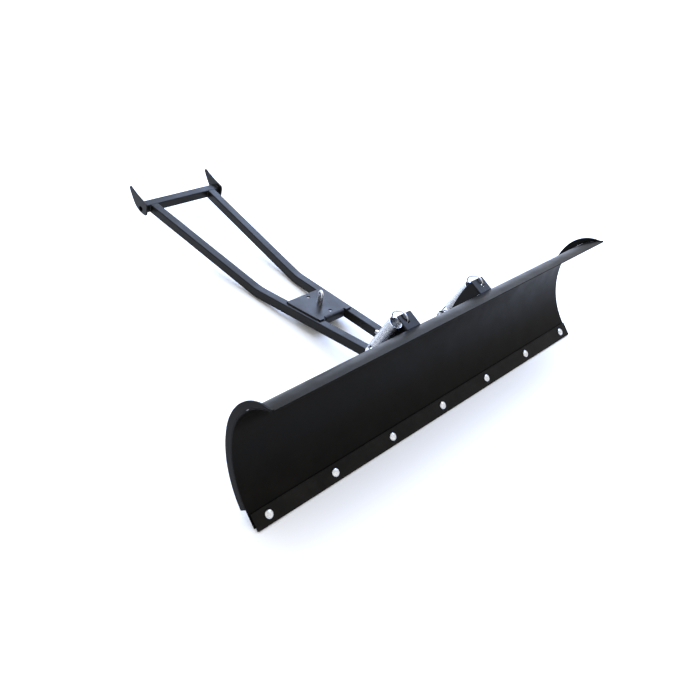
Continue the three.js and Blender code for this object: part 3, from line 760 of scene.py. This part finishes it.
def square_tube(stations, size, wall, corner):
    """A hollow square tube through stations of (place, across, up), open at both ends."""
    outer = rounded_square(size / 2, corner)
    inner = rounded_square(size / 2 - wall, max(corner - wall, 0.0008))
    rings = []
    for outline, order in ((outer, stations), (inner, stations[::-1])):
        for place, across, up in order:
            rings.append([place + across * a + up * b for a, b in outline])
    return skin(rings, closed=True)


# ------------------------------------------------------------------ the blade

BOLT_AXIS = Vector((0, -sin(FOOT_ANGLE), cos(FOOT_ANGLE)))


def add_blade():
    add_plate("mouldboard", (1, 0, 0), "sheet", "blade", BROAD_EDGE)
    add_plate("end_rib_left", (1, 0, 0), "sheet", "blade", MIDDLE_EDGE)
    add_plate("end_rib_right", (1, 0, 0), "sheet", "blade", MIDDLE_EDGE)
    add_plate("wear_bar", (1, 0, 0), "bar", "blade", BROAD_EDGE)
    up = (0, -sin(FLANGE_TILT), cos(FLANGE_TILT))
    for name, _ in SIDES:
        add_plate(f"hinge_rib_{name}", (1, 0, 0), "frame", "blade")
        add_plate(f"spring_flange_{name}", up, "frame", "blade")


def dome_profile(radius, height, length):
    """Half section of a carriage bolt: domed head over a plain shank."""
    points = [(0, height)]
    for k in range(1, 9):
        angle = pi / 2 * k / 8
        points.append((radius * sin(angle), 0.0009 + (height - 0.0009) * cos(angle)))
    shank = M10_SHANK * MM
    return [*points, (radius, 0.0004), (radius - 0.0004, 0), (shank, 0), (shank, -length), (0, -length)]


def add_wear_bolts():
    shank = M10_SHANK * MM
    for i in range(1, 8):
        place, low, high = measure(f"wear_bolt_{i}", BOLT_AXIS)
        seat = high - CARRIAGE_HEIGHT * MM
        base = place + BOLT_AXIS * seat
        dome = dome_profile(CARRIAGE_RADIUS * MM, CARRIAGE_HEIGHT * MM, CARRIAGE_SHANK * MM)
        shells = [
            turned(dome, base, BOLT_AXIS),
            threaded(shank, M10_PITCH * MM, CARRIAGE_THREAD * MM, seat - low, base, -BOLT_AXIS),
        ]
        add_solid(f"wear_bolt_{i}", shells, "zinc", "blade")
        add_nut(f"wear_nut_{i}", BOLT_AXIS, M10_ACROSS, M10_BORE, "blade")


def add_nut(node, axis, across, bore, body):
    place, low, high = measure(node, axis)
    shell = hex_shell(across * MM, low, high, bore * MM, place, axis)
    add_solid(node, [shell], "zinc", body)


def add_hex_bolt(node, axis, size, head, body):
    """A hexagon bolt whose head is at its upper end along the axis."""
    across, radius, pitch = size
    place, low, high = measure(node, axis)
    n = plane_of(axis)[2]
    under = high - head * MM
    flange = across / 2 * HEX_FACE * MM
    shells = [
        hex_shell(across * MM, under + 0.0005, high, 0, place, axis, top_only=True),
        rod_shell(flange, under, under + 0.0007, place, axis, 0.0002),
        rod_shell(radius * MM, (low + under) / 2, under + 0.001, place, axis),
        threaded(radius * MM, pitch * MM, -(low + under) / 2 - 0.002, -low, place, -n),
    ]
    add_solid(node, shells, "zinc", body)


# ------------------------------------------------------------------ trip springs


def spring_point(down, rearward):
    y = SPRING_TOP[0] + down * sin(SPRING_LEAN) + rearward * cos(SPRING_LEAN)
    z = SPRING_TOP[1] - down * cos(SPRING_LEAN) + rearward * sin(SPRING_LEAN)
    return y, z


def spring_path(x):
    """Centre line of the spring's wire: lower eye, close-wound coil and upper hook."""
    eye_y, eye_z = ANCHOR
    lower = [(x, eye_y + ANCHOR_EYE * cos(radians(a)), eye_z + ANCHOR_EYE * sin(radians(a)))
             for a in (140, 180, 220, 260, 300, 335)]
    lower.append((x, eye_y + ANCHOR_EYE + 0.4, eye_z + 8))
    lower.append((x, *spring_point(SPRING_LENGTH + 4, SPRING_RING - 1.5)))
    coil = []
    per_turn = 12
    total = SPRING_TURNS * per_turn
    for i in range(1, total):
        angle = 2 * pi * i / per_turn
        down = SPRING_LENGTH - SPRING_WIRE - (SPRING_LENGTH - 2 * SPRING_WIRE) * i / total
        y, z = spring_point(down, SPRING_RING * cos(angle))
        coil.append((x + SPRING_RING * sin(angle), y, z))
    upper = [(x, *spring_point(-4.0, SPRING_RING))]
    upper += [(x, y, z) for y, z in HOOK_PATH]
    return smooth_path([*lower, *coil, *upper], 2.0)


def add_springs():
    for name, side in SIDES:
        path = [at(*p) for p in spring_path(SPRING_X * side)]
        node = f"trip_spring_{name}"
        mesh = finish_mesh(node, [sweep(path, SPRING_WIRE * MM, 14)], 1e-7)
        spring = add_piece(f"{node}_look", mesh, "spring", None, node, even=False)
        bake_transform(spring)
        add_hex_bolt(f"spring_bolt_{name}", (side, 0, 0), M12_BOLT, SPRING_HEAD, "swivel")
        add_nut(f"spring_nut_{name}", (side, 0, 0), M12_ACROSS, M12_BORE, "swivel")


# ------------------------------------------------------------------ swivel frame


def add_swivel():
    add_plate("swivel_crossbar", (1, 0, 0), "frame", "swivel", BROAD_EDGE)
    add_plate("swivel_upper_plate", (0, 0, 1), "frame", "swivel")
    add_plate("swivel_lower_plate", (0, 0, 1), "frame", "swivel")
    for name, side in SIDES:
        add_plate(f"spring_arm_{name}", (1, 0, 0), "frame", "swivel")
        for place in ("inner", "outer"):
            add_plate(f"hinge_lug_{name}_{place}", (1, 0, 0), "frame", "swivel")
        add_hex_bolt(f"hinge_bolt_{name}", (side, 0, 0), M12_BOLT, HINGE_HEAD, "swivel")
        add_nut(f"hinge_nut_{name}", (side, 0, 0), M12_ACROSS, M12_BORE, "swivel")
        x = side * (ARM_INNER + 0.2)
        add_beads(f"swivel_welds_{name}", "swivel", [
            (at(x, y, ARM_WELD_LOW), at(x, y, ARM_WELD_HIGH), SWIVEL_WELD)
            for y in (SWIVEL_BACK, SWIVEL_FRONT)
        ])


# ------------------------------------------------------------------ push frame


def tube_stations(side):
    """Places along a push tube's centre line, with the directions across it and up."""
    turn = REAR_SLOPE + FRONT_SLOPE
    tangent = TUBE_BEND * math.tan(turn / 2)
    start = (FRAME_BEND[0] + tangent * cos(REAR_SLOPE), FRAME_BEND[1] + tangent * sin(REAR_SLOPE))
    centre = (start[0] - TUBE_BEND * sin(REAR_SLOPE), start[1] + TUBE_BEND * cos(REAR_SLOPE))
    line = [(FRAME_REAR[0] - 0.3, FRAME_REAR[1], REAR_SLOPE)]
    for k in range(17):
        angle = REAR_SLOPE - turn * k / 16
        line.append((centre[0] + TUBE_BEND * sin(angle), centre[1] - TUBE_BEND * cos(angle), angle))
    front = FRAME_FRONT[0]
    line.append((front, FRAME_BEND[1] + (FRAME_BEND[0] - front) * math.tan(FRONT_SLOPE), -FRONT_SLOPE))
    across = Vector((1, 0, 0))
    stations = []
    for y, z, angle in line:
        x = side * (FRAME_REAR_INNER + TUBE_SIZE / 2 + FRAME_TAPER * (y - FRAME_REAR[0]))
        stations.append((at(x, y, z), across, Vector((0, -sin(angle), cos(angle)))))
    return stations


def rear_directions():
    """Along the push frame's rear part, and up from it."""
    along = Vector((0, cos(REAR_SLOPE), sin(REAR_SLOPE)))
    up = Vector((0, -sin(REAR_SLOPE), cos(REAR_SLOPE)))
    return along, up


def add_push_frame():
    for name, side in SIDES:
        shell = square_tube(tube_stations(side), TUBE_SIZE * MM, TUBE_WALL * MM, TUBE_CORNER * MM)
        add_solid(f"push_tube_{name}", [shell], "frame", "push_frame")
        add_plate(f"horn_plate_{name}", (1, 0, 0), "frame", "push_frame", MIDDLE_EDGE)
    along, up = rear_directions()
    stations = []
    for x in (-CROSSBAR_HALF, CROSSBAR_HALF):
        stations.append((at(x, *FRAME_REAR) + along * (TUBE_SIZE / 2 * MM), -along, up))
    shell = square_tube(stations, TUBE_SIZE * MM, TUBE_WALL * MM, TUBE_CORNER * MM)
    add_solid("rear_crossbar", [shell], "frame", "push_frame")


def plate_at(x, along, up):
    """A place on the sloping mid plate: along it from its middle, and up from its underside."""
    y = (MID_REAR + MID_FRONT) / 2
    base = FRAME_BEND[1] + (FRAME_BEND[0] - y) * math.tan(FRONT_SLOPE)
    base += TUBE_SIZE / 2 / cos(FRONT_SLOPE) + GAP
    drawn_y = y + along * cos(FRONT_SLOPE) + up * sin(FRONT_SLOPE)
    drawn_z = base - along * sin(FRONT_SLOPE) + up * cos(FRONT_SLOPE)
    return at(x, drawn_y, drawn_z)


def circle(x, y, radius, count=32):
    return [Vector((x + radius * cos(2 * pi * k / count), y + radius * sin(2 * pi * k / count)))
            for k in range(count)]


def loop_legs():
    reach = LOOP_PITCH / 2
    return [(side * reach * cos(LOOP_TURN), side * reach * sin(LOOP_TURN)) for side in (-1, 1)]


def folded_lip():
    """The strip folded down at the mid plate's front, with a rounded bend."""
    front = -(MID_REAR - MID_FRONT) / 2
    outer = [(front + RELIEF_DEPTH, MID_THICK - 0.05)]
    inner = [(front + RELIEF_DEPTH, 0.05)]
    reach = LIP_BEND + MID_THICK
    for k in range(9):
        angle = pi / 2 * k / 8
        for side, radius in ((outer, reach), (inner, LIP_BEND)):
            side.append((front + reach - radius * sin(angle), radius * cos(angle) - LIP_BEND))
    outer += [(front, 1 - LIP_DROP), (front + 0.7, 0.3 - LIP_DROP)]
    inner += [(front + MID_THICK, 1 - LIP_DROP), (front + MID_THICK - 0.7, 0.3 - LIP_DROP)]
    section = outer + inner[::-1]
    middle = Vector((sum(p[0] for p in section), sum(p[1] for p in section))) / len(section)
    rings = []
    for x, inset in ((-LIP_HALF, 0.5), (0.6 - LIP_HALF, 0), (LIP_HALF - 0.6, 0), (LIP_HALF, 0.5)):
        ring = [Vector(p) + (middle - Vector(p)).normalized() * inset for p in section]
        rings.append([plate_at(x, a, b) for a, b in ring])
    return skin(rings)


def mid_outline():
    """The flat part's outline, with reliefs beside the lip: its right half, then its left."""
    half = (MID_REAR - MID_FRONT) / 2
    relief = LIP_HALF + RELIEF_WIDTH
    inner_end = RELIEF_DEPTH - half
    points = [(LIP_HALF, LIP_BEND + MID_THICK - half), (LIP_HALF, inner_end)]
    points += [(relief, inner_end), (relief, -half)]
    points += [(MID_FRONT_HALF, -half), (MID_REAR_HALF, half)]
    return [Vector(p) for p in points] + [Vector((-x, y)) for x, y in reversed(points)]


def add_mid_plate():
    holes = [circle(0, offset, SPARE_RADIUS) for offset in SPARE_HOLES]
    holes += [circle(x, y, LOOP_BORE) for x, y in loop_legs()]
    loops = [[p * MM for p in loop] for loop in (mid_outline(), *holes)]
    flat = plate_mesh("mid_plate", loops, 0, MID_THICK * MM, (0, 0, 1), FINE_EDGE)
    middle = plate_at(0, 0, 0)
    turn = Matrix.Rotation(-FRONT_SLOPE, 4, "X")
    flat.transform(Matrix.Translation(middle) @ turn)
    add_piece("mid_plate_look", flat, "plate", "push_frame", "mid_plate")
    add_piece("mid_plate_lip_look", finish_mesh("mid_plate_lip", [folded_lip()]), "plate", "push_frame")
    half = (MID_REAR - MID_FRONT) / 2
    welds = []
    for side in (-1, 1):
        rear = plate_at(side * MID_REAR_HALF, half - 6, 2.2)
        front = plate_at(side * MID_FRONT_HALF, 12 - half, 2.2)
        welds.append((rear, front, MID_WELD))
    add_beads("mid_plate_welds", "push_frame", welds)


def add_lifting_loop():
    (x0, y0), (x1, y1) = loop_legs()
    bend = LOOP_PITCH / 2
    rise = MID_THICK + LOOP_HEIGHT - bend - LOOP_WIRE
    path = [plate_at(x0, y0, z) for z in (-4, 8, 22, rise - 4)]
    for k in range(17):
        angle = pi * (1 - k / 16)
        across = (1 + cos(angle)) / 2
        path.append(plate_at(x0 + (x1 - x0) * across, y0 + (y1 - y0) * across, rise + bend * sin(angle)))
    path += [plate_at(x1, y1, z) for z in (rise - 4, 22, 8, -4)]
    axis = plate_at(0, 0, 1) - plate_at(0, 0, 0)
    shells = [sweep(smooth_path(path, 0.0015), LOOP_WIRE * MM, 24)]
    for x, y in loop_legs():
        foot = plate_at(x, y, 0)
        shells.append(threaded((LOOP_WIRE - 0.2) * MM, M8_PITCH * MM, 3 * MM, 16 * MM, foot, -axis))
    add_solid("lifting_loop", shells, "zinc", "push_frame")
    for i in (1, 2):
        add_nut(f"loop_nut_{i}", axis, M8_ACROSS, LOOP_WIRE + 0.15, "push_frame")


def add_king():
    place, low, high = measure("king_sleeve", (0, 0, 1))
    shell = ring_shell(SLEEVE_RADIUS * MM, KING_BORE * MM, low, high, place, (0, 0, 1))
    add_solid("king_sleeve", [shell], "frame", "push_frame")
    add_hex_bolt("king_bolt", (0, 0, 1), M20_BOLT, KING_HEAD, "push_frame")
    add_nut("king_nut", (0, 0, 1), M20_ACROSS, M20_BORE, "push_frame")
    add_beads("king_welds", "push_frame", [
        (at(side * 33, KING_Y - 14, z), at(side * 33, KING_Y + 14, z), KING_WELD)
        for side in (-1, 1) for z in (SLEEVE_LOW + 6, SLEEVE_HIGH - 6)
    ])


def add_clamp():
    half = FRAME_REAR_INNER - FRAME_TAPER * (FRAME_REAR[0] - CLAMP_Y) - 1.5
    z_axis = Vector((0, 0, 1))
    place = at(0, CLAMP_Y, 0)
    outline = [(-half, -BRIDGE_HALF), (half, -BRIDGE_HALF), (half, BRIDGE_HALF), (-half, BRIDGE_HALF)]
    loops = [[Vector(p) * MM for p in outline], [p * MM for p in circle(0, 0, CLAMP_BORE)]]
    bar = plate_mesh("clamp_bridge", loops, BRIDGE_LOW * MM, BRIDGE_HIGH * MM, z_axis, FINE_EDGE)
    bar.transform(Matrix.Translation(place))
    add_piece("clamp_bridge_look", bar, "frame", "push_frame", "clamp_bridge")
    foot = (BRIDGE_HIGH - 0.5) * MM
    top = (SLEEVE_HIGH - GAP) * MM
    bushing = ring_shell(CLAMP_BUSHING * MM, CLAMP_BORE * MM, foot, top, place, z_axis)
    add_piece("clamp_bushing_look", finish_mesh("clamp_bushing", [bushing]), "frame", "push_frame")
    path = smooth_path([at(x, CLAMP_Y + y, z) for x, y, z in HANDLE_PATH], 0.002)
    seat = SLEEVE_HIGH + SWIVEL_PLATE + 2 * GAP
    shells = [
        sweep(path, CLAMP_SCREW * MM, 24),
        threaded(CLAMP_SCREW * MM, M12_PITCH * MM, -74 * MM, -60 * MM, place, -z_axis),
        rod_shell(CLAMP_COLLAR * MM, seat * MM, (seat + CLAMP_COLLAR_HEIGHT) * MM, place, z_axis),
    ]
    add_solid("angle_clamp", shells, "zinc", "clamp")


def add_beads(name, body, lines):
    """Weld beads, given as start, end and size in mm."""
    shells = []
    for seed, (start, end, size) in enumerate(lines):
        shells.append(bead(start, end, size * MM, seed + len(name)))
    add_piece(f"{name}_look", finish_mesh(name, shells), "weld", body)


def add_rear_welds():
    along, up = rear_directions()
    lines = []
    for _, side in SIDES:
        for x in (FRAME_REAR_INNER, FRAME_REAR_INNER + TUBE_SIZE):
            middle = at(side * x, *FRAME_REAR)
            lines.append((middle - up * 0.013, middle + up * 0.013, TUBE_WELD))
        top = up * (TUBE_SIZE / 2 * MM)
        plate = at(side * CROSSBAR_HALF, *FRAME_REAR)
        lines.append((plate + top + along * 0.004, plate + top + along * 0.028, HORN_WELD))
    add_beads("rear_welds", "push_frame", lines)


# ------------------------------------------------------------------ everything

FINISHES = make_materials()
add_camera()
add_floor()
add_light()
add_blade()
add_wear_bolts()
add_springs()
add_swivel()
add_push_frame()
add_rear_welds()
add_mid_plate()
add_lifting_loop()
add_king()
add_clamp()
